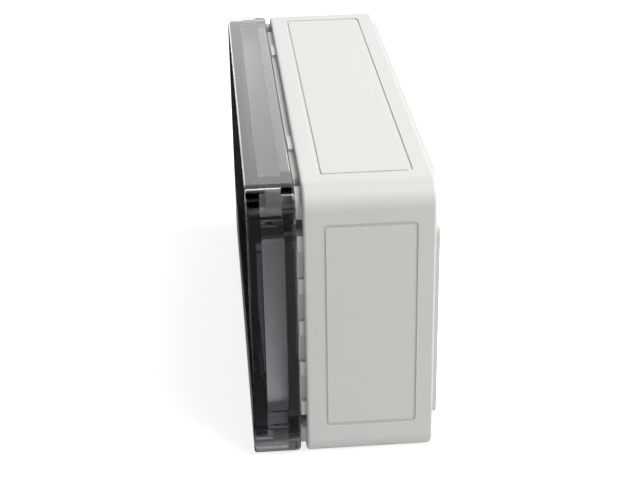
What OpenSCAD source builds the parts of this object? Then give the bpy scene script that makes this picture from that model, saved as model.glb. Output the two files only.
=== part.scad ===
// Wall enclosure of light grey plastic with a deep smoked lid, standing on one long side.
// Every piece is drawn lying on its back: x runs along the case, y up the wall and
// z out from the wall towards the lid. stand() then turns it up, with the lid facing -Y.

/* [Case] */
// Length of the case
case_w = 180; // [140:1:260]
// Height of the case on the wall
case_h = 94; // [84:1:160]
// Radius of the four corner edges
corner_r = 7; // [6:0.5:8]

/* [Base] */
// Depth of the base from its back to its front rim
base_depth = 40.3; // [34:0.1:80]
// Thickness of the back
floor_t = 3; // [2:0.1:5]
// Rounding of the base's front rim
base_front_r = 1; // [0.4:0.1:1.6]
// Rounding of the base's back edges
base_back_r = 0.8; // [0.4:0.1:1.6]
// Height of the raised cross on the back
plateau_h = 1.2; // [0.6:0.1:2.5]
// Side of the four low corners beside the raised cross
plateau_notch = 12.5; // [8:0.5:16]
// Step in from the sides to the ends of the raised cross
plateau_inset = 0.8; // [0.8:0.1:2]
// Corner radius of the raised cross
plateau_r = 4.5; // [1:0.5:8]

/* [Side panels] */
// Distance from the case's ends to the panel outlines
panel_end_margin = 11.5; // [10:0.1:20]
// Distance from the base's rim and back to the panel outlines
panel_edge_margin = 5.5; // [3:0.1:10]
// Width of the moulded outline
panel_line_w = 1.3; // [0.6:0.1:2]
// Depth of the moulded outline
panel_line_d = 0.4; // [0.2:0.1:1]
// Corner radius of the panel inside the outline
panel_line_r = 0.5; // [0.3:0.1:3]

/* [Tongue and seal] */
// Shadow gap between the base and the lid
seam_gap = 2; // [1:0.1:3]
// Step in from the sides to the tongue
tongue_inset = 2.6; // [2:0.1:3]
// Thickness of the tongue
tongue_t = 1.2; // [1:0.1:1.4]
// How far the tongue reaches into the lid
tongue_reach = 0.6; // [0.4:0.1:2]
// Side of the corner wells that the tongue runs round
well_size = 14.6; // [13.8:0.1:20]
// Radius where the tongue turns in towards a well
tongue_turn_r = 3; // [2:0.1:5]
// Radius of the tongue round the inner corner of a well
well_r = 4; // [2:0.1:6]
// Thickness of the seal
seal_t = 3; // [1:0.1:3.4]
// Room beside the seal in the lid's rebate
seal_play = 0.2; // [0.1:0.1:0.3]
// Room between the tongue and the lid
tongue_play = 0.3; // [0.2:0.1:0.5]

/* [Seam pads] */
// Length of the pads in the seam of the long sides
long_pad_l = 11; // [6:0.5:20]
// Distance from the middle to the pads of the long sides
long_pad_x = 47; // [30:1:60]
// Length of the pads in the seam of the short sides
short_pad_l = 5; // [3:0.5:8]
// Distance between the pads of the short sides
short_pad_pitch = 14.5; // [10:0.5:16]
// How far the pads stand out from the tongue
pad_out = 1; // [0.6:0.1:1.4]
// Room between the pads and the lid
pad_play = 0.3; // [0.2:0.1:0.6]

/* [Lid] */
// Depth of the lid
lid_depth = 15; // [13:0.1:30]
// Thickness of the window in the middle of the lid's front
window_t = 3.2; // [2:0.1:4]
// Step from the window to the thicker border round it
border_step = 1.5; // [0.6:0.1:2]
// Width of the thicker border
border_w = 22; // [18:0.5:30]
// Corner radius of the window
window_r = 4; // [2:0.5:8]
// Width of the ledge that presses on the seal
lid_ledge_w = 1.7; // [1.6:0.1:3]
// Rounding of the lid's front edges
lid_front_r = 0.8; // [0.4:0.1:1.5]
// Rounding of the lid's rear edge
lid_rear_r = 1.2; // [0.4:0.1:1.2]

/* [Lid screws] */
// Distance from the sides to a screw's axis
screw_inset = 6.5; // [6.2:0.1:7.5]
// Diameter of the screw head
head_d = 8.6; // [7:0.1:9]
// Height of the screw head
head_h = 4.7; // [4:0.1:6]
// Room round the screw head
head_play = 0.3; // [0.2:0.1:0.5]
// Diameter of the neck that turns in the lid
neck_d = 4.4; // [3.6:0.1:4.8]
// Running clearance round the neck
neck_play = 0.1; // [0.05:0.01:0.1]
// Thickness of the lid under the screw head
seat_t = 3.5; // [2:0.1:4]
// Diameter of the collar that keeps the screw in the lid
collar_d = 5.4; // [5:0.1:5.8]
// Height of the collar
collar_h = 1.6; // [1:0.1:2.5]
// Diameter of the screw's end
tip_d = 4.2; // [3.4:0.1:4.6]
// Length of the screw's end below the collar
tip_l = 12; // [6:0.5:18]
// Room round and under the screw's end
tip_play = 0.3; // [0.2:0.1:0.5]
// Width of the driver slots
slot_w = 1.3; // [1:0.1:1.8]
// Depth of the driver slots
slot_d = 2.4; // [1.5:0.1:3]
// Diameter of the screw posts in the base
post_d = 10.4; // [9.6:0.1:10.8]

/* [Fixings] */
// Distance between the wall fixing holes along the case
fixing_w = 160; // [110:1:162]
// Distance between the wall fixing holes up the wall
fixing_h = 44; // [20:1:46]
// Diameter of the wall fixing holes
fixing_d = 4.5; // [3:0.1:6]
// Diameter of the collars round the wall fixing holes
fixing_collar_d = 10; // [8:0.1:11]
// Height of the collars and of the rail bosses
fixing_collar_h = 2; // [1:0.1:4]
// Distance between the plate bosses along the case
boss_w = 132; // [60:1:134]
// Distance between the plate bosses up the wall
boss_h = 70; // [40:1:78]
// Diameter of the plate bosses
boss_d = 7; // [6:0.1:8]
// Height of the plate bosses
boss_l = 6; // [4:0.5:12]
// Distance between the two rail bosses
rail_w = 80; // [40:1:100]
// Diameter of the pilot holes in the bosses
pilot_d = 2.8; // [2:0.1:4]

/* [Hidden] */
$fn = 64;
over = 1;
base_grey = "#d4d5d0";
smoke = [0.17, 0.18, 0.19, 0.6];
seal_black = "#202224";
screw_grey = "#b9bbb8";

// Levels along z, from the wall to the lid's front
floor_z = plateau_h + floor_t;
rim_z = plateau_h + base_depth;
lid_rear_z = rim_z + seam_gap;
tongue_z = lid_rear_z + tongue_reach;
ledge_z = tongue_z + seal_t;
lid_front_z = lid_rear_z + lid_depth;
window_z = lid_front_z - window_t;
border_z = window_z - border_step;
seat_z = tongue_z + seat_t;
collar_z = tongue_z - tip_play;
tip_z = collar_z - collar_h - tip_l;

wall_t = tongue_inset + tongue_t;
skirt_t = tongue_inset - tongue_play;
lid_wall_t = skirt_t + lid_ledge_w;
screw_x = case_w / 2 - screw_inset;
screw_y = case_h / 2 - screw_inset;
arc_steps = 5;
signs = [-1, 1];

module stand() {
    translate([0, lid_front_z / 2, case_h / 2]) rotate([90, 0, 0]) children();
}

module at_corners(x, y) {
    for (sx = signs, sy = signs) translate([sx * x, sy * y, 0]) children();
}

// Points of a quarter arc round c, starting at angle a
function quarter(c, r, a) = [for (i = [0 : arc_steps])
    c + r * [cos(a + 90 * i / arc_steps), sin(a + 90 * i / arc_steps)]];

// Half section of a slab: from its corner's centre out to a side with both edges rounded
module edge_section(r, depth, back_r, front_r) {
    polygon(concat(
        [[0, 0]],
        quarter([r - back_r, back_r], back_r, -90),
        quarter([r - front_r, depth - front_r], front_r, 0),
        [[0, depth]]));
}

// Slab with round corners and with its back and front edges rounded
module slab(depth, back_r, front_r) {
    half_w = case_w / 2 - corner_r;
    half_h = case_h / 2 - corner_r;
    linear_extrude(depth) square([2 * half_w, 2 * half_h], center = true);
    for (side = [0 : 3]) {
        run = side % 2 == 0 ? half_w : half_h;
        reach = side % 2 == 0 ? half_h : half_w;
        rotate([0, 0, 90 * side]) {
            translate([-run, reach, 0]) rotate([90, 0, 90]) linear_extrude(2 * run)
                edge_section(corner_r, depth, back_r, front_r);
            translate([run, reach, 0]) rotate_extrude(angle = 90)
                edge_section(corner_r, depth, back_r, front_r);
        }
    }
}

module rounded_rect(w, h, r) {
    square([w - 2 * r, h], center = true);
    square([w, h - 2 * r], center = true);
    at_corners(w / 2 - r, h / 2 - r) circle(r);
}

module inset_plan(inset) {
    rounded_rect(case_w - 2 * inset, case_h - 2 * inset, corner_r - inset);
}

// Plan inside the tongue's outer face, pulled in by off: a rectangle that steps round the wells
module seal_plan(off) {
    near = tongue_inset + off;
    far = well_size + off;
    turn = tongue_turn_r - off;
    round_in = well_r + off;
    rounded_rect(case_w - 2 * near, case_h - 2 * far, turn);
    rounded_rect(case_w - 2 * far, case_h - 2 * near, turn);
    for (sx = signs, sy = signs) scale([sx, sy])
        translate([case_w / 2 - far, case_h / 2 - far]) difference() {
            square(round_in);
            translate([round_in, round_in]) circle(round_in);
        }
}

module tongue_plan() {
    difference() {
        seal_plan(0);
        seal_plan(tongue_t);
    }
}

module post_plan() {
    intersection() {
        at_corners(screw_x, screw_y) circle(d = post_d);
        inset_plan(tongue_inset);
    }
}

// One pad in the seam, lying against the tongue of the upper long side
module pad(length, reach) {
    translate([-length / 2, reach - tongue_inset - tongue_t]) square([length, tongue_t + pad_out]);
}

module pad_plan() {
    half_span = floor((case_h / 2 - well_size) / short_pad_pitch);
    for (sy = signs, sx = signs) scale([1, sy])
        translate([sx * long_pad_x, 0]) pad(long_pad_l, case_h / 2);
    for (sx = signs, i = [-half_span : half_span]) scale([sx, 1])
        translate([0, i * short_pad_pitch]) rotate([0, 0, -90]) pad(short_pad_l, case_w / 2);
}

// Raised cross on the back, with round corners
module plateau() {
    linear_extrude(plateau_h + over) {
        rounded_rect(case_w - 2 * plateau_inset, case_h - 2 * plateau_notch, plateau_r);
        rounded_rect(case_w - 2 * plateau_notch, case_h - 2 * plateau_inset, plateau_r);
    }
}

// Outline of a side panel of the given length, cut into the four sides
module panel_line(length, reach) {
    height = base_depth - 2 * panel_edge_margin;
    outer_r = panel_line_r + panel_line_w;
    translate([0, reach - panel_line_d, plateau_h + base_depth / 2]) rotate([-90, 0, 0])
        linear_extrude(panel_line_d + over) difference() {
            rounded_rect(length, height, outer_r);
            rounded_rect(length - 2 * panel_line_w, height - 2 * panel_line_w, panel_line_r);
        }
}

module panel_lines() {
    for (side = [0 : 3]) {
        length = (side % 2 == 0 ? case_w : case_h) - 2 * panel_end_margin;
        reach = (side % 2 == 0 ? case_h : case_w) / 2;
        rotate([0, 0, 90 * side]) panel_line(length, reach);
    }
}

module base_shell() {
    difference() {
        union() {
            translate([0, 0, plateau_h]) slab(base_depth, base_back_r, base_front_r);
            plateau();
            translate([0, 0, rim_z - over]) linear_extrude(tongue_z - rim_z + over) {
                tongue_plan();
                post_plan();
            }
            translate([0, 0, rim_z - over]) linear_extrude(seam_gap - pad_play + over) pad_plan();
        }
        translate([0, 0, floor_z]) linear_extrude(lid_front_z) seal_plan(tongue_t);
        translate([0, 0, floor_z]) linear_extrude(lid_front_z) difference() {
            inset_plan(wall_t);
            seal_plan(0);
            post_plan();
        }
    }
}

module floor_bosses() {
    translate([0, 0, floor_z - over]) {
        at_corners(boss_w / 2, boss_h / 2) cylinder(d = boss_d, h = boss_l + over);
        at_corners(fixing_w / 2, fixing_h / 2)
            cylinder(d = fixing_collar_d, h = fixing_collar_h + over);
        for (sx = signs) translate([sx * rail_w / 2, 0, 0])
            cylinder(d = boss_d, h = fixing_collar_h + over);
    }
}

module base_holes() {
    at_corners(fixing_w / 2, fixing_h / 2) translate([0, 0, -over])
        cylinder(d = fixing_d, h = rim_z);
    at_corners(boss_w / 2, boss_h / 2) translate([0, 0, floor_z])
        cylinder(d = pilot_d, h = boss_l + over);
    for (sx = signs) translate([sx * rail_w / 2, 0, floor_z - floor_t / 2])
        cylinder(d = pilot_d, h = rim_z);
    at_corners(screw_x, screw_y) {
        translate([0, 0, tip_z - tip_play]) cylinder(d = tip_d + 2 * tip_play, h = lid_front_z);
        translate([0, 0, collar_z - collar_h - tip_play])
            cylinder(d = collar_d + 2 * tip_play, h = lid_front_z);
    }
}

module base() {
    color(base_grey) stand() difference() {
        union() {
            base_shell();
            floor_bosses();
        }
        base_holes();
        panel_lines();
    }
}

module lid_hollow() {
    below = lid_rear_z - over;
    translate([0, 0, below]) {
        linear_extrude(tongue_z - below) inset_plan(skirt_t);
        linear_extrude(ledge_z - below) seal_plan(-tongue_play);
        linear_extrude(border_z - below) seal_plan(lid_wall_t - tongue_inset);
        linear_extrude(window_z - below)
            rounded_rect(case_w - 2 * border_w, case_h - 2 * border_w, window_r);
    }
}

module lid() {
    color(smoke) stand() difference() {
        translate([0, 0, lid_rear_z]) slab(lid_depth, lid_rear_r, lid_front_r);
        lid_hollow();
        at_corners(screw_x, screw_y) {
            translate([0, 0, seat_z]) cylinder(d = head_d + 2 * head_play, h = lid_depth);
            translate([0, 0, lid_rear_z]) cylinder(d = neck_d + 2 * neck_play, h = lid_depth);
        }
    }
}

module seal() {
    color(seal_black) stand() translate([0, 0, tongue_z]) linear_extrude(seal_t) difference() {
        seal_plan(seal_play - tongue_play);
        seal_plan(tongue_t);
    }
}

// Captive lid screw: slotted head, neck in the lid, collar under the lid and plain end
module screw(sx, sy) {
    head_r = head_d / 2;
    neck_r = neck_d / 2;
    collar_r = collar_d / 2;
    tip_r = tip_d / 2;
    edge = 0.5;
    head_top = seat_z + head_h;
    collar_end = collar_z - collar_h;
    color(screw_grey) stand() translate([sx * screw_x, sy * screw_y, 0]) difference() {
        rotate_extrude() polygon([
            [0, tip_z], [tip_r - edge, tip_z], [tip_r, tip_z + edge], [tip_r, collar_end],
            [collar_r - edge, collar_end], [collar_r, collar_end + edge], [collar_r, collar_z],
            [neck_r, collar_z], [neck_r, seat_z], [head_r, seat_z],
            [head_r, head_top - edge], [head_r - edge, head_top], [0, head_top]]);
        for (turn = [0, 90]) rotate([0, 0, turn]) translate([0, 0, head_top])
            cube([head_d - 2 * slot_w, slot_w, 2 * slot_d], center = true);
    }
}

module screw_top_left() { screw(-1, 1); }
module screw_top_right() { screw(1, 1); }
module screw_bottom_left() { screw(-1, -1); }
module screw_bottom_right() { screw(1, -1); }

base();
lid();
seal();
screw_top_left();
screw_top_right();
screw_bottom_left();
screw_bottom_right();
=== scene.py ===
"""Dresses a wall enclosure: grey base, smoked lid, seal, captive lid screws and a plain stage."""

import math

import bpy
from bpy.props import FloatProperty, FloatVectorProperty, IntProperty, PointerProperty
from mathutils import Matrix, Vector


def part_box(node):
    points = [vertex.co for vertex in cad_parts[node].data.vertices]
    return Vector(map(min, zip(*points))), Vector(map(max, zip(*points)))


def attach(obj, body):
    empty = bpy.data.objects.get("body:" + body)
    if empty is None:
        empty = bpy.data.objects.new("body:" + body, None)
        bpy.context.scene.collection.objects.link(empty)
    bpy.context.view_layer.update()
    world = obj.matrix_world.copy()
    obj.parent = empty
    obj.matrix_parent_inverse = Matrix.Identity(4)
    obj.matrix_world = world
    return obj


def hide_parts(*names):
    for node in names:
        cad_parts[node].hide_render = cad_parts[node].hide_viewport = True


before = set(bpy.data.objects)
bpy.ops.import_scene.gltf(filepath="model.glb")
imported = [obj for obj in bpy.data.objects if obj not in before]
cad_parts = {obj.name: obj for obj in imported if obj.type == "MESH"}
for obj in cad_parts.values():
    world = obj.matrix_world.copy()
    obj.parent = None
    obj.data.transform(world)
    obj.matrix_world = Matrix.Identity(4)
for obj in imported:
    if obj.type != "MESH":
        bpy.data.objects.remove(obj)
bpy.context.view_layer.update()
MM = 0.001

bl_info = {
    "name": "Wall enclosure dresser",
    "version": (1, 0, 0),
    "blender": (4, 5, 0),
    "location": "View3D > Sidebar > Enclosure",
    "description": "Gives a wall enclosure its finishes, seal, lid screws and stage",
    "category": "Object",
}

SCREW_NODES = [
    "screw_top_left",
    "screw_top_right",
    "screw_bottom_left",
    "screw_bottom_right",
]

WHITE = (1.0, 1.0, 1.0, 1.0)
# Light that clear plastic lets through apart from its smoke, and how strongly it bends light
CLEAR = (0.98, 0.98, 0.98, 1.0)
PLASTIC_IOR = 1.58

# Edges that turn more than this stay sharp
CREASE = math.radians(35.0)
# Points closer than this are one point
MERGE_DISTANCE = 0.001 * MM

# Steps of the seal's turns and of the rounded edges
SEAL_TURN_STEPS = 10
SEAL_EDGE_STEPS = 4
SCREW_EDGE_STEPS = 3
# A screw's outline is swept round a ring; this many steps keep its edges off the slots' corners
LATHE_STEPS = 52
LATHE_RADIUS = 1.0 * MM
# Steps in one turn of the thread, and sides of its ridge
THREAD_STEPS = 24
THREAD_SIDES = 4
# Steps round an ejector mark, and sides of its line
MARK_STEPS = 32
MARK_SIDES = 8

# Stage: where lamps and cards aim, the floor, and the rays that never see a card
MIDDLE = (0.0, 0.0, 0.05)
FLOOR_SIDE = 24.0
FLOOR_COLOUR = (0.75, 0.75, 0.75, 1.0)
UNSEEN = ["camera", "diffuse", "volume_scatter", "shadow"]


def length(name, description, millimetres):
    """A length setting with its default in millimetres."""
    return FloatProperty(
        name=name, description=description, unit="LENGTH", precision=5, default=millimetres * MM
    )


def colour(name, description, red, green, blue):
    """A colour setting."""
    return FloatVectorProperty(
        name=name,
        description=description,
        subtype="COLOR",
        size=4,
        default=(red, green, blue, 1.0),
    )


class CaseFinish(bpy.types.PropertyGroup):
    """Colours and surfaces of the pieces"""

    base_colour: colour("Base colour", "Light grey of the base", 0.705, 0.70, 0.67)
    screw_colour: colour("Screw colour", "Grey of the lid screws", 0.5, 0.52, 0.5)
    seal_colour: colour("Seal colour", "Black of the seal", 0.015, 0.015, 0.016)
    grain_size: length("Grain size", "Width of one grain of the moulded texture", 0.35)
    smoke_colour: colour("Smoke colour", "What the smoked plastic lets through", 0.06, 0.10, 0.15)
    smoke_density: FloatProperty(
        name="Smoke density",
        description="Light taken away per metre of smoked plastic",
        default=115.0,
    )
    lid_polish: FloatProperty(
        name="Lid polish", description="Roughness of the lid's polished faces", default=0.03
    )
    lid_frost: FloatProperty(
        name="Lid frost",
        description="Roughness of the finely textured inner faces of the lid's walls",
        default=0.35,
    )
    frost_inset: length("Frost inset", "How far in from the sides the textured faces begin", 3.5)
    frost_start: length("Frost start", "Depth behind the lid's front where they begin", 4.75)
    frost_end: length("Frost end", "Depth behind the lid's front where they end", 11.35)
    block_side: length("Block side", "Side of the clear corner blocks", 15.5)


class SealShape(bpy.types.PropertyGroup):
    """Sizes of the seal that the frame's box doesn't give"""

    width: length("Width", "Width of the seal", 1.3)
    rounding: length("Rounding", "Radius of the seal's edges", 0.35)
    well: length("Well", "Side of the corner wells that the seal runs round", 12.1)
    turn_radius: length("Turn radius", "Radius of the outer face where it turns to a well", 3.1)
    well_radius: length("Well radius", "Radius of the outer face round a well's inner corner", 3.9)


class ScrewShape(bpy.types.PropertyGroup):
    """Sizes of the lid screws that the frame's boxes don't give"""

    head_height: length("Head height", "Height of the head", 4.7)
    neck: length("Neck", "Diameter of the neck that turns in the lid", 4.4)
    collar: length("Collar", "Diameter of the collar under the lid", 5.4)
    collar_height: length("Collar height", "Height of the collar", 1.6)
    end: length("End", "Diameter over the thread", 4.2)
    end_length: length("End length", "Length of the threaded end", 12.0)
    end_chamfer: length("End chamfer", "Chamfer at the tip", 0.5)
    thread_depth: length("Thread depth", "Depth of the thread", 0.4)
    thread_pitch: length("Thread pitch", "Distance between two turns", 1.2)
    edge: length("Edge", "Radius of the moulded edges", 0.3)
    slot_width: length("Slot width", "Width of the driver slots", 1.3)
    slot_depth: length("Slot depth", "Depth of the driver slots", 2.4)


class EjectorMarks(bpy.types.PropertyGroup):
    """Rings that the ejector pins leave on the floor inside the base"""

    columns: IntProperty(name="Columns", description="Marks along the case", default=4)
    rows: IntProperty(name="Rows", description="Marks up the case", default=2)
    pitch_x: length("Pitch along", "Distance between marks along the case", 32.0)
    pitch_y: length("Pitch up", "Distance between marks up the case", 40.0)
    diameter: length("Diameter", "Diameter of a mark", 6.0)
    line: length("Line", "Width of a mark's raised line", 0.2)
    floor: length("Floor", "Height of the inner floor over the back", 4.2)


class StageLook(bpy.types.PropertyGroup):
    """Camera, floor and lights"""

    camera_place: FloatVectorProperty(
        name="Camera place",
        description="Where the camera stands",
        subtype="TRANSLATION",
        unit="LENGTH",
        default=(0.47722, -0.03773, 0.26584),
    )
    camera_aim: FloatVectorProperty(
        name="Camera aim",
        description="Point in the middle of the picture",
        subtype="TRANSLATION",
        unit="LENGTH",
        default=(0.0, -0.00014, 0.03413),
    )
    camera_roll: FloatProperty(
        name="Camera roll",
        description="Turn of the camera about its own axis",
        subtype="ANGLE",
        default=math.radians(-0.914),
    )
    camera_lens: FloatProperty(
        name="Camera lens",
        description="Focal length in millimetres on a 36 mm wide sensor",
        default=81.07,
    )
    sky_level: FloatProperty(
        name="Sky level", description="Soft light from all round", default=0.18
    )
    floor_lift: FloatProperty(
        name="Floor lift", description="Light added to the floor that the eye sees", default=0.78
    )
    through_lift: FloatProperty(
        name="Through lift",
        description="Light added to the floor seen through the lid",
        default=0.4,
    )
    key_power: FloatProperty(
        name="Key power",
        description="Power of the broad soft box above and behind",
        unit="POWER",
        default=36.0,
    )
    far_power: FloatProperty(
        name="Far power",
        description="Power of the soft box behind the far end",
        unit="POWER",
        default=2.25,
    )
    edge_power: FloatProperty(
        name="Edge power",
        description="Power of the low soft box that shines along the lid's front edges",
        unit="POWER",
        default=2.8,
    )


def add(tree, kind, **inputs):
    """Adds a node and sets or links its inputs by name."""
    node = tree.nodes.new(kind)
    for name, value in inputs.items():
        socket = node.inputs[name.replace("_", " ")]
        if isinstance(value, bpy.types.NodeSocket):
            tree.links.new(value, socket)
        else:
            socket.default_value = value
    return node


def maths(tree, operation, first, second=0.0):
    """Adds a maths node and returns its result."""
    node = tree.nodes.new("ShaderNodeMath")
    node.operation = operation
    for socket, value in zip(node.inputs, [first, second]):
        if isinstance(value, bpy.types.NodeSocket):
            tree.links.new(value, socket)
        else:
            socket.default_value = value
    return node.outputs[0]


def new_group(name, kind, inputs, outputs):
    """A node group with named sockets, and the sockets of its input and output nodes."""
    group = bpy.data.node_groups.new(name, kind)
    for way, sockets in [("INPUT", inputs), ("OUTPUT", outputs)]:
        for label, socket in sockets.items():
            group.interface.new_socket(label, in_out=way, socket_type="NodeSocket" + socket)
    given = group.nodes.new("NodeGroupInput").outputs
    result = group.nodes.new("NodeGroupOutput").inputs
    return group, given, result


def new_material(name):
    """A node material with its Principled shader."""
    material = bpy.data.materials.new(name)
    material.use_nodes = True
    return material, material.node_tree, material.node_tree.nodes["Principled BSDF"]


def dress(node, material):
    """Gives a CAD node its finished material."""
    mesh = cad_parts[node].data
    mesh.materials.clear()
    mesh.materials.append(material)


def moulded_grain():
    """Node group for a moulded surface: a slow drift of tone and a fine grain."""
    name = "moulded_grain"
    if name in bpy.data.node_groups:
        return bpy.data.node_groups[name]
    group, given, result = new_group(
        name,
        "ShaderNodeTree",
        {"Grain size": "Float", "Grain depth": "Float"},
        {"Tone": "Float", "Normal": "Vector"},
    )
    place = group.nodes.new("ShaderNodeTexCoord").outputs["Object"]
    drift = add(group, "ShaderNodeTexNoise", Vector=place, Scale=25.0, Detail=3.0)
    scale = maths(group, "DIVIDE", 1.0, given["Grain size"])
    grain = add(group, "ShaderNodeTexNoise", Vector=place, Scale=scale, Detail=2.0)
    bump = add(
        group,
        "ShaderNodeBump",
        Height=grain.outputs["Fac"],
        Strength=0.12,
        Distance=given["Grain depth"],
    )
    group.links.new(drift.outputs["Fac"], result["Tone"])
    group.links.new(bump.outputs["Normal"], result["Normal"])
    return group


def moulded(name, tint, grain_size, grain_depth, contrast, smooth, rough):
    """An opaque moulded material: its tone and roughness drift, and its surface has a grain."""
    material, tree, shader = new_material(name)
    grain = tree.nodes.new("ShaderNodeGroup")
    grain.node_tree = moulded_grain()
    grain.inputs["Grain size"].default_value = grain_size
    grain.inputs["Grain depth"].default_value = grain_depth
    tone = tree.nodes.new("ShaderNodeMix")
    tone.data_type = "RGBA"
    tint = Vector(tint).xyz
    for socket, level in [("A", 1.0 - contrast), ("B", 1.0 + contrast)]:
        tone.inputs[socket].default_value = (*(tint * level), 1.0)
    gloss = add(
        tree, "ShaderNodeMapRange", Value=grain.outputs["Tone"], To_Min=smooth, To_Max=rough
    )
    tree.links.new(grain.outputs["Tone"], tone.inputs["Factor"])
    tree.links.new(tone.outputs["Result"], shader.inputs["Base Color"])
    tree.links.new(gloss.outputs["Result"], shader.inputs["Roughness"])
    tree.links.new(grain.outputs["Normal"], shader.inputs["Normal"])
    return material


def grey_plastic(finish):
    """The base's satin light grey."""
    return moulded(
        "moulded_light_grey",
        tint=finish.base_colour,
        grain_size=finish.grain_size,
        grain_depth=0.02 * MM,
        contrast=0.015,
        smooth=0.4,
        rough=0.5,
    )


def screw_plastic(finish):
    """The lid screws' grey, a little glossier than the base."""
    return moulded(
        "moulded_screw_grey",
        tint=finish.screw_colour,
        grain_size=finish.grain_size,
        grain_depth=0.015 * MM,
        contrast=0.04,
        smooth=0.3,
        rough=0.45,
    )


def seal_rubber(finish):
    """The seal's dull black, with a finer and deeper grain than the plastics."""
    return moulded(
        "black_seal_rubber",
        tint=finish.seal_colour,
        grain_size=finish.grain_size / 2,
        grain_depth=0.03 * MM,
        contrast=0.2,
        smooth=0.65,
        rough=0.8,
    )


def frosted_faces(tree, finish):
    """Mask of the lid's inner wall faces: 1 where textured, 0 where the lid is polished."""
    low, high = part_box("lid")
    middle = (low + high) / 2
    half = (high - low) / 2
    place = tree.nodes.new("ShaderNodeTexCoord").outputs["Object"]
    split = add(tree, "ShaderNodeSeparateXYZ", Vector=place)
    depth = maths(tree, "SUBTRACT", split.outputs["Y"], low.y)
    insets = []
    for axis in "XZ":
        offset = maths(tree, "SUBTRACT", split.outputs[axis], getattr(middle, axis.lower()))
        reach = maths(tree, "ABSOLUTE", offset)
        insets.append(maths(tree, "SUBTRACT", getattr(half, axis.lower()), reach))
    nearer = maths(tree, "MINIMUM", *insets)
    farther = maths(tree, "MAXIMUM", *insets)
    inside = maths(tree, "GREATER_THAN", nearer, finish.frost_inset)
    clear_of_block = maths(tree, "GREATER_THAN", farther, finish.block_side)
    behind = maths(tree, "GREATER_THAN", depth, finish.frost_start)
    before = maths(tree, "LESS_THAN", depth, finish.frost_end)
    wall = maths(tree, "MULTIPLY", inside, clear_of_block)
    band = maths(tree, "MULTIPLY", behind, before)
    return maths(tree, "MULTIPLY", wall, band)


def smoked_plastic(finish):
    """The lid's clear plastic, with smoke in its thickness and textured inner wall faces."""
    material, tree, shader = new_material("smoked_clear")
    shader.inputs["Base Color"].default_value = CLEAR
    shader.inputs["IOR"].default_value = PLASTIC_IOR
    shader.inputs["Transmission Weight"].default_value = 1.0
    texture = add(
        tree,
        "ShaderNodeMapRange",
        Value=frosted_faces(tree, finish),
        To_Min=finish.lid_polish,
        To_Max=finish.lid_frost,
    )
    tree.links.new(texture.outputs["Result"], shader.inputs["Roughness"])
    smoke = add(
        tree, "ShaderNodeVolumeAbsorption", Color=finish.smoke_colour, Density=finish.smoke_density
    )
    tree.links.new(smoke.outputs["Volume"], tree.nodes["Material Output"].inputs["Volume"])
    return material


def edge_mesh(name, points, closed):
    """A mesh of edges only, through the points in order."""
    count = len(points)
    edges = [(i, (i + 1) % count) for i in range(count if closed else count - 1)]
    mesh = bpy.data.meshes.new(name)
    mesh.from_pydata([(x, y, 0.0) for x, y in points], edges, [])
    return mesh


def grow(name, group, source, values):
    """Runs a geometry node group on a source mesh and keeps the result as a plain mesh object."""
    seed = bpy.data.objects.new(name + "_source", source)
    bpy.context.scene.collection.objects.link(seed)
    modifier = seed.modifiers.new("grow", "NODES")
    modifier.node_group = group
    for socket in group.interface.items_tree:
        if socket.in_out == "INPUT" and socket.name in values:
            modifier[socket.identifier] = values[socket.name]
    depsgraph = bpy.context.evaluated_depsgraph_get()
    mesh = bpy.data.meshes.new_from_object(seed.evaluated_get(depsgraph), depsgraph=depsgraph)
    mesh.name = name
    bpy.data.objects.remove(seed)
    piece = bpy.data.objects.new(name, mesh)
    bpy.context.scene.collection.objects.link(piece)
    return piece


def finish_solid(group, result, given, geometry):
    """Ends a geometry node group: turned up to stand, put in place and given its material."""
    stood = add(
        group,
        "GeometryNodeTransform",
        Geometry=geometry,
        Translation=given["Place"],
        Rotation=(math.radians(90.0), 0.0, 0.0),
    )
    soft = add(group, "GeometryNodeSetShadeSmooth", Geometry=stood.outputs[0], Shade_Smooth=True)
    angle = group.nodes.new("GeometryNodeInputMeshEdgeAngle").outputs["Unsigned Angle"]
    sharp = add(group, "FunctionNodeCompare", A=angle, B=CREASE)
    creased = add(
        group,
        "GeometryNodeSetShadeSmooth",
        Geometry=soft.outputs[0],
        Selection=sharp.outputs["Result"],
        Shade_Smooth=False,
    )
    creased.domain = "EDGE"
    real = add(group, "GeometryNodeRealizeInstances", Geometry=creased.outputs[0])
    dressed = add(
        group, "GeometryNodeSetMaterial", Geometry=real.outputs[0], Material=given["Material"]
    )
    group.links.new(dressed.outputs[0], result["Geometry"])


def level_curve(group, curve):
    """Turns a curve's normals so that a swept profile stays upright."""
    level = add(group, "GeometryNodeSetCurveNormal", Curve=curve)
    level.mode = "Z_UP"
    return level.outputs[0]


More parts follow.
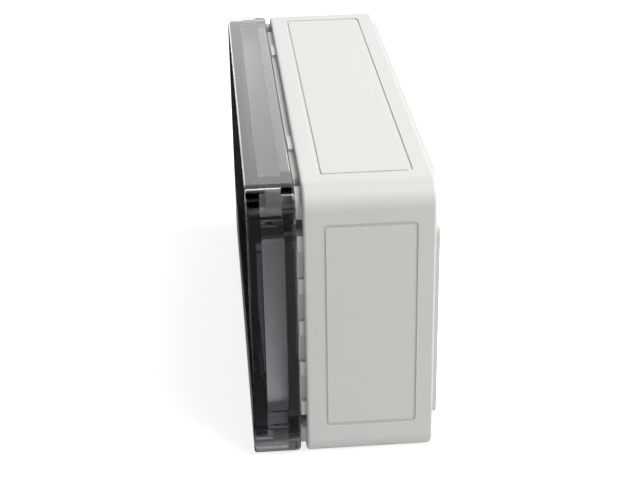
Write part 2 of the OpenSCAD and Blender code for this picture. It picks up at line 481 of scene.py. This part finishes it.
def seal_group():
    """Geometry nodes: sweeps a rounded bar along a closed path with rounded turns."""
    group, given, result = new_group(
        "swept_seal",
        "GeometryNodeTree",
        {
            "Geometry": "Geometry",
            "Width": "Float",
            "Height": "Float",
            "Rounding": "Float",
            "Place": "Vector",
            "Material": "Material",
        },
        {"Geometry": "Geometry"},
    )
    path = add(group, "GeometryNodeMeshToCurve", Mesh=given["Geometry"])
    turn = add(group, "GeometryNodeInputNamedAttribute", Name="turn_radius")
    turned = add(
        group, "GeometryNodeFilletCurve", Curve=path.outputs[0], Radius=turn.outputs["Attribute"]
    )
    bar = add(
        group,
        "GeometryNodeCurvePrimitiveQuadrilateral",
        Width=given["Width"],
        Height=given["Height"],
    )
    rounded = add(
        group, "GeometryNodeFilletCurve", Curve=bar.outputs[0], Radius=given["Rounding"]
    )
    for fillet, steps in [(turned, SEAL_TURN_STEPS), (rounded, SEAL_EDGE_STEPS)]:
        fillet.mode = "POLY"
        fillet.inputs["Count"].default_value = steps
    swept = add(
        group,
        "GeometryNodeCurveToMesh",
        Curve=level_curve(group, turned.outputs[0]),
        Profile_Curve=rounded.outputs[0],
    )
    finish_solid(group, result, given, swept.outputs[0])
    return group


def seal_path(shape, low, high):
    """Corners of the seal's middle line and their radii: a rectangle stepped round four wells."""
    inset = shape.width / 2
    outer_x = (high.x - low.x) / 2 - inset
    outer_y = (high.z - low.z) / 2 - inset
    inner_x = outer_x - shape.well
    inner_y = outer_y - shape.well
    turn = shape.turn_radius - inset
    well = shape.well_radius + inset
    step = [(outer_x, inner_y, turn), (inner_x, inner_y, well), (inner_x, outer_y, turn)]
    corners = []
    for side_x, side_y in [(1, 1), (-1, 1), (-1, -1), (1, -1)]:
        turned = step if side_x * side_y > 0 else step[::-1]
        corners += [(side_x * x, side_y * y, radius) for x, y, radius in turned]
    return corners


def screw_group():
    """Geometry nodes: turns an outline into a screw with a thread and two driver slots."""
    group, given, result = new_group(
        "lid_screw",
        "GeometryNodeTree",
        {
            "Geometry": "Geometry",
            "Edge": "Float",
            "Slot length": "Float",
            "Slot width": "Float",
            "Slot depth": "Float",
            "Head top": "Float",
            "Thread radius": "Float",
            "Thread depth": "Float",
            "Thread turns": "Float",
            "Thread length": "Float",
            "Thread start": "Float",
            "Place": "Vector",
            "Material": "Material",
        },
        {"Geometry": "Geometry"},
    )
    outline = add(group, "GeometryNodeMeshToCurve", Mesh=given["Geometry"])
    rounded = add(
        group, "GeometryNodeFilletCurve", Curve=outline.outputs[0], Radius=given["Edge"]
    )
    rounded.mode = "POLY"
    rounded.inputs["Count"].default_value = SCREW_EDGE_STEPS
    rounded.inputs["Limit Radius"].default_value = True
    ring = add(
        group, "GeometryNodeCurvePrimitiveCircle", Resolution=LATHE_STEPS, Radius=LATHE_RADIUS
    )
    turned = add(
        group,
        "GeometryNodeCurveToMesh",
        Curve=level_curve(group, ring.outputs[0]),
        Profile_Curve=rounded.outputs[0],
    )
    body = add(
        group,
        "GeometryNodeMergeByDistance",
        Geometry=turned.outputs[0],
        Distance=MERGE_DISTANCE,
    )
    top = add(group, "ShaderNodeCombineXYZ", Z=given["Head top"])
    deep = maths(group, "MULTIPLY", given["Slot depth"], 2.0)
    cut = group.nodes.new("GeometryNodeMeshBoolean")
    cut.solver = "MANIFOLD"
    group.links.new(body.outputs[0], cut.inputs["Mesh 1"])
    for across in ["XY", "YX"]:
        size = group.nodes.new("ShaderNodeCombineXYZ")
        group.links.new(given["Slot length"], size.inputs[across[0]])
        group.links.new(given["Slot width"], size.inputs[across[1]])
        group.links.new(deep, size.inputs["Z"])
        slot = add(group, "GeometryNodeMeshCube", Size=size.outputs[0])
        raised = add(
            group, "GeometryNodeTransform", Geometry=slot.outputs[0], Translation=top.outputs[0]
        )
        group.links.new(raised.outputs[0], cut.inputs["Mesh 2"])
    coil = add(
        group,
        "GeometryNodeCurveSpiral",
        Resolution=THREAD_STEPS,
        Rotations=given["Thread turns"],
        Start_Radius=given["Thread radius"],
        End_Radius=given["Thread radius"],
        Height=given["Thread length"],
    )
    ridge = add(
        group,
        "GeometryNodeCurvePrimitiveCircle",
        Resolution=THREAD_SIDES,
        Radius=given["Thread depth"],
    )
    thread = add(
        group,
        "GeometryNodeCurveToMesh",
        Curve=level_curve(group, coil.outputs[0]),
        Profile_Curve=ridge.outputs[0],
        Fill_Caps=True,
    )
    start = add(group, "ShaderNodeCombineXYZ", Z=given["Thread start"])
    placed = add(
        group, "GeometryNodeTransform", Geometry=thread.outputs[0], Translation=start.outputs[0]
    )
    both = group.nodes.new("GeometryNodeJoinGeometry")
    for solid in [cut, placed]:
        group.links.new(solid.outputs[0], both.inputs[0])
    finish_solid(group, result, given, both.outputs[0])
    return group


def screw_outline(shape, head_radius, head_top):
    """Half section of a screw from its head to its tip, for the lathe's ring."""
    core = shape.end / 2 - shape.thread_depth
    chamfer = shape.end_chamfer
    neck = shape.neck / 2
    collar = shape.collar / 2
    collar_end = shape.end_length
    collar_top = collar_end + shape.collar_height
    seat = head_top - shape.head_height
    section = [
        (0.0, head_top),
        (head_radius, head_top),
        (head_radius, seat),
        (neck, seat),
        (neck, collar_top),
        (collar, collar_top),
        (collar, collar_end),
        (core, collar_end),
        (core, chamfer),
        (core - chamfer, 0.0),
        (0.0, 0.0),
    ]
    return [(radius - LATHE_RADIUS, -height) for radius, height in section]


def marks_group():
    """Geometry nodes: sets thin raised rings on a grid."""
    group, given, result = new_group(
        "ejector_marks",
        "GeometryNodeTree",
        {
            "Geometry": "Geometry",
            "Columns": "Int",
            "Rows": "Int",
            "Pitch along": "Float",
            "Pitch up": "Float",
            "Radius": "Float",
            "Line": "Float",
            "Place": "Vector",
            "Material": "Material",
        },
        {"Geometry": "Geometry"},
    )
    spans = {}
    for count, pitch in [("Columns", "Pitch along"), ("Rows", "Pitch up")]:
        gaps = maths(group, "SUBTRACT", given[count], 1.0)
        spans[count] = maths(group, "MULTIPLY", gaps, given[pitch])
    grid = add(
        group,
        "GeometryNodeMeshGrid",
        Size_X=spans["Columns"],
        Size_Y=spans["Rows"],
        Vertices_X=given["Columns"],
        Vertices_Y=given["Rows"],
    )
    ring = add(
        group, "GeometryNodeCurvePrimitiveCircle", Resolution=MARK_STEPS, Radius=given["Radius"]
    )
    thin = maths(group, "DIVIDE", given["Line"], 2.0)
    line = add(group, "GeometryNodeCurvePrimitiveCircle", Resolution=MARK_SIDES, Radius=thin)
    mark = add(
        group,
        "GeometryNodeCurveToMesh",
        Curve=level_curve(group, ring.outputs[0]),
        Profile_Curve=line.outputs[0],
    )
    spread = add(
        group,
        "GeometryNodeInstanceOnPoints",
        Points=grid.outputs["Mesh"],
        Instance=mark.outputs[0],
    )
    finish_solid(group, result, given, spread.outputs[0])
    return group


class ENCLOSURE_OT_base(bpy.types.Operator):
    """Gives the base its light grey moulded finish and the ejector marks on its floor"""

    bl_idname = "enclosure.base"
    bl_label = "Base"

    def execute(self, context):
        material = grey_plastic(context.scene.case_finish)
        dress("base", material)
        marks = context.scene.ejector_marks
        low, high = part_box("base")
        values = {
            "Columns": marks.columns,
            "Rows": marks.rows,
            "Pitch along": marks.pitch_x,
            "Pitch up": marks.pitch_y,
            "Radius": marks.diameter / 2,
            "Line": marks.line,
            "Place": (0.0, high.y - marks.floor, (low.z + high.z) / 2),
            "Material": material,
        }
        piece = grow("ejector_marks", marks_group(), bpy.data.meshes.new("marks_source"), values)
        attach(piece, "base")
        return {"FINISHED"}


class ENCLOSURE_OT_lid(bpy.types.Operator):
    """Gives the lid its smoked clear finish"""

    bl_idname = "enclosure.lid"
    bl_label = "Lid"

    def execute(self, context):
        dress("lid", smoked_plastic(context.scene.case_finish))
        return {"FINISHED"}


class ENCLOSURE_OT_seal(bpy.types.Operator):
    """Sweeps the seal round the lid's rebate"""

    bl_idname = "enclosure.seal"
    bl_label = "Seal"

    def execute(self, context):
        shape = context.scene.seal_shape
        low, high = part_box("seal")
        corners = seal_path(shape, low, high)
        path = edge_mesh("seal_path", [(x, y) for x, y, radius in corners], closed=True)
        turns = path.attributes.new("turn_radius", "FLOAT", "POINT")
        turns.data.foreach_set("value", [radius for x, y, radius in corners])
        values = {
            "Width": shape.width,
            "Height": high.y - low.y,
            "Rounding": shape.rounding,
            "Place": (low + high) / 2,
            "Material": seal_rubber(context.scene.case_finish),
        }
        piece = grow("lid_seal", seal_group(), path, values)
        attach(piece, "lid")
        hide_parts("seal")
        return {"FINISHED"}


class ENCLOSURE_OT_lid_screws(bpy.types.Operator):
    """Turns the four captive lid screws"""

    bl_idname = "enclosure.lid_screws"
    bl_label = "Lid screws"

    def execute(self, context):
        shape = context.scene.screw_shape
        material = screw_plastic(context.scene.case_finish)
        group = screw_group()
        thread_length = shape.end_length - shape.end_chamfer - shape.thread_pitch
        for node in SCREW_NODES:
            low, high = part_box(node)
            head_radius = (high.x - low.x) / 2
            span = high.y - low.y
            outline = screw_outline(shape, head_radius, span)
            values = {
                "Edge": shape.edge,
                "Slot length": 2 * (head_radius - shape.slot_width),
                "Slot width": shape.slot_width,
                "Slot depth": shape.slot_depth,
                "Head top": span,
                "Thread radius": shape.end / 2 - shape.thread_depth,
                "Thread depth": shape.thread_depth,
                "Thread turns": thread_length / shape.thread_pitch,
                "Thread length": thread_length,
                "Thread start": shape.end_chamfer + shape.thread_pitch / 2,
                "Place": ((low.x + high.x) / 2, high.y, (low.z + high.z) / 2),
                "Material": material,
            }
            source = edge_mesh(node + "_outline", outline, closed=False)
            piece = grow("lid_" + node, group, source, values)
            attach(piece, node)
            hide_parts(node)
        return {"FINISHED"}


def for_rays(tree, kinds, seen, lit):
    """Mixes two shaders: seen for the named kinds of rays, lit for all others."""
    path = tree.nodes.new("ShaderNodeLightPath").outputs
    any_of = 0.0
    for kind in kinds:
        any_of = maths(tree, "MAXIMUM", any_of, path["Is " + kind + " Ray"])
    mix = tree.nodes.new("ShaderNodeMixShader")
    tree.links.new(any_of, mix.inputs[0])
    tree.links.new(lit, mix.inputs[1])
    tree.links.new(seen, mix.inputs[2])
    return mix.outputs[0]


def make_world(look):
    """A world that is white to look at and gives a soft light from all round."""
    world = bpy.data.worlds.new("studio")
    bpy.context.scene.world = world
    world.use_nodes = True
    tree = world.node_tree
    tree.nodes.clear()
    seen = add(tree, "ShaderNodeBackground", Color=WHITE, Strength=1.0)
    lit = add(tree, "ShaderNodeBackground", Color=WHITE, Strength=look.sky_level)
    both = for_rays(tree, ["Camera", "Glossy", "Transmission"], seen.outputs[0], lit.outputs[0])
    tree.links.new(both, tree.nodes.new("ShaderNodeOutputWorld").inputs["Surface"])


def flat_piece(name, material, place, width, height, aim=None):
    """A flat rectangle of the stage that faces up, or a point that is given."""
    x, y = width / 2, height / 2
    mesh = bpy.data.meshes.new(name)
    mesh.from_pydata([(-x, -y, 0.0), (x, -y, 0.0), (x, y, 0.0), (-x, y, 0.0)], [], [(0, 1, 2, 3)])
    mesh.materials.append(material)
    piece = bpy.data.objects.new(name, mesh)
    bpy.context.scene.collection.objects.link(piece)
    piece.location = place
    facing = Vector(aim) - Vector(place) if aim else Vector((0.0, 0.0, 1.0))
    piece.rotation_mode = "QUATERNION"
    piece.rotation_quaternion = facing.to_track_quat("Z", "Y")
    return piece


def make_floor(look):
    """A pale floor that keeps the shadow and looks white, straight or through the lid."""
    material = bpy.data.materials.new("pale_floor")
    material.use_nodes = True
    tree = material.node_tree
    tree.nodes.clear()
    path = tree.nodes.new("ShaderNodeLightPath").outputs
    straight = maths(tree, "MULTIPLY", path["Is Camera Ray"], look.floor_lift)
    through = maths(tree, "MULTIPLY", path["Is Transmission Ray"], look.through_lift)
    diffuse = add(tree, "ShaderNodeBsdfDiffuse", Color=FLOOR_COLOUR)
    glow = add(tree, "ShaderNodeEmission", Strength=maths(tree, "ADD", straight, through))
    lifted = tree.nodes.new("ShaderNodeAddShader")
    tree.links.new(diffuse.outputs[0], lifted.inputs[0])
    tree.links.new(glow.outputs[0], lifted.inputs[1])
    output = tree.nodes.new("ShaderNodeOutputMaterial")
    tree.links.new(lifted.outputs[0], output.inputs["Surface"])
    flat_piece("floor", material, (0.0, 0.0, 0.0), FLOOR_SIDE, FLOOR_SIDE)


def make_card(name, grey, place, width, height, aim=None, hidden_from=UNSEEN, glow=0.0):
    """A matt card that shows in the glossy lid but not to the kinds of rays named: a painted
    reflection that casts no shadow and blocks no light.
    """
    material, _, shader = new_material(name)
    shader.inputs["Base Color"].default_value = (grey, grey, grey, 1.0)
    shader.inputs["Roughness"].default_value = 0.9
    shader.inputs["Specular IOR Level"].default_value = 0.0
    shader.inputs["Emission Color"].default_value = WHITE
    shader.inputs["Emission Strength"].default_value = glow
    card = flat_piece(name, material, place, width, height, aim)
    for kind in hidden_from:
        setattr(card, "visible_" + kind, False)


def make_cards():
    """Cards that show only in the lid, as painted reflections and painted shade: a dark wall, a
    dark ceiling and three flat ones on the floor.
    """
    # Painted reflection: a black card on the floor along the lid's front, seen only in glossy
    # rays, makes the lid's front face reflect black at a grazing angle.
    make_card(
        "foot_card",
        grey=0.01,
        place=(-0.15, -0.065, 0.0004),
        width=0.5,
        height=0.07,
        hidden_from=[*UNSEEN, "transmission"],
    )
    # Painted reflection and painted shade: a grey card on the floor past the near end dims the
    # floor's reflection in the lid's near wall and darkens the floor seen through the lid.
    make_card("near_card", grey=0.24, place=(0.2, -0.01, 0.0004), width=0.2, height=0.1)
    # Painted shade: a card under the lid's near lower corner, darker than the lifted floor, stands
    # in for the floor's contact shadow seen through the lid and in its reflections; its faint glow
    # is painted light.
    make_card(
        "corner_shade_card",
        grey=0.8,
        place=(0.0885, -0.018, 0.0003),
        width=0.027,
        height=0.0224,
        glow=0.08,
    )
    # Painted reflections: a black wall and a black ceiling, seen only by glossy and transmission
    # rays, darken what the lid reflects and cast no shade.
    make_card(
        "dark_wall", grey=0.01, place=(0.8, 0.0, 0.7), width=2.4, height=1.8, aim=MIDDLE
    )
    make_card(
        "dark_ceiling", grey=0.01, place=(0.3, 0.0, 1.6), width=2.0, height=2.0, aim=MIDDLE
    )


def soft_box(name, place, width, height, power):
    """A lamp that shines from a rectangle at the middle of the case."""
    data = bpy.data.lights.new(name, "AREA")
    data.shape = "RECTANGLE"
    data.size = width
    data.size_y = height
    data.energy = power
    lamp = bpy.data.objects.new(name, data)
    bpy.context.scene.collection.objects.link(lamp)
    lamp.location = place
    lamp.rotation_mode = "QUATERNION"
    lamp.rotation_quaternion = (Vector(MIDDLE) - Vector(place)).to_track_quat("-Z", "Y")


def make_lights(look):
    """A broad lamp above and behind, one past the far end and a low one for the front edges."""
    soft_box("key_box", (0.5, 0.95, 1.35), width=1.4, height=1.4, power=look.key_power)
    soft_box("far_box", (-1.3, 0.1, 0.65), width=1.2, height=0.8, power=look.far_power)
    soft_box("edge_box", (-1.4, -0.6, 0.3), width=0.6, height=0.6, power=look.edge_power)


def make_camera(look):
    """The camera that the photo was taken with, as fitted to its edges."""
    data = bpy.data.cameras.new("photo_camera")
    data.lens = look.camera_lens
    data.sensor_width = 36.0
    data.clip_start = 0.01
    camera = bpy.data.objects.new("photo_camera", data)
    bpy.context.scene.collection.objects.link(camera)
    camera.location = look.camera_place
    sight = Vector(look.camera_aim) - Vector(look.camera_place)
    turn = sight.to_track_quat("-Z", "Y").to_matrix() @ Matrix.Rotation(look.camera_roll, 3, "Z")
    camera.rotation_mode = "QUATERNION"
    camera.rotation_quaternion = turn.to_quaternion()
    bpy.context.scene.camera = camera


class ENCLOSURE_OT_stage(bpy.types.Operator):
    """Sets the floor, cards, lights and camera"""

    bl_idname = "enclosure.stage"
    bl_label = "Stage"

    def execute(self, context):
        look = context.scene.stage_look
        context.scene.view_settings.view_transform = "Standard"
        make_world(look)
        make_floor(look)
        make_lights(look)
        make_cards()
        make_camera(look)
        return {"FINISHED"}


class ENCLOSURE_PT_pieces(bpy.types.Panel):
    """Lists the pieces and the sizes that they take"""

    bl_idname = "ENCLOSURE_PT_pieces"
    bl_label = "Enclosure"
    bl_space_type = "VIEW_3D"
    bl_region_type = "UI"
    bl_category = "Enclosure"

    def draw(self, context):
        for operator in OPERATORS:
            self.layout.operator(operator.bl_idname)
        for group, name in GROUPS.items():
            box = self.layout.box()
            settings = getattr(context.scene, name)
            for label in group.__annotations__:
                box.prop(settings, label)


GROUPS = {
    CaseFinish: "case_finish",
    SealShape: "seal_shape",
    ScrewShape: "screw_shape",
    EjectorMarks: "ejector_marks",
    StageLook: "stage_look",
}
OPERATORS = [
    ENCLOSURE_OT_base,
    ENCLOSURE_OT_lid,
    ENCLOSURE_OT_seal,
    ENCLOSURE_OT_lid_screws,
    ENCLOSURE_OT_stage,
]


def register():
    """Registers the settings, the operators and the panel."""
    for group, name in GROUPS.items():
        bpy.utils.register_class(group)
        setattr(bpy.types.Scene, name, PointerProperty(type=group))
    for made in [*OPERATORS, ENCLOSURE_PT_pieces]:
        bpy.utils.register_class(made)


def unregister():
    """Takes away what register added."""
    for made in [ENCLOSURE_PT_pieces, *reversed(OPERATORS)]:
        bpy.utils.unregister_class(made)
    for group, name in GROUPS.items():
        delattr(bpy.types.Scene, name)
        bpy.utils.unregister_class(group)


def main():
    """Makes every piece and the stage."""
    register()
    bpy.ops.enclosure.base()
    bpy.ops.enclosure.lid()
    bpy.ops.enclosure.seal()
    bpy.ops.enclosure.lid_screws()
    bpy.ops.enclosure.stage()


if __name__ == "__main__":
    main()
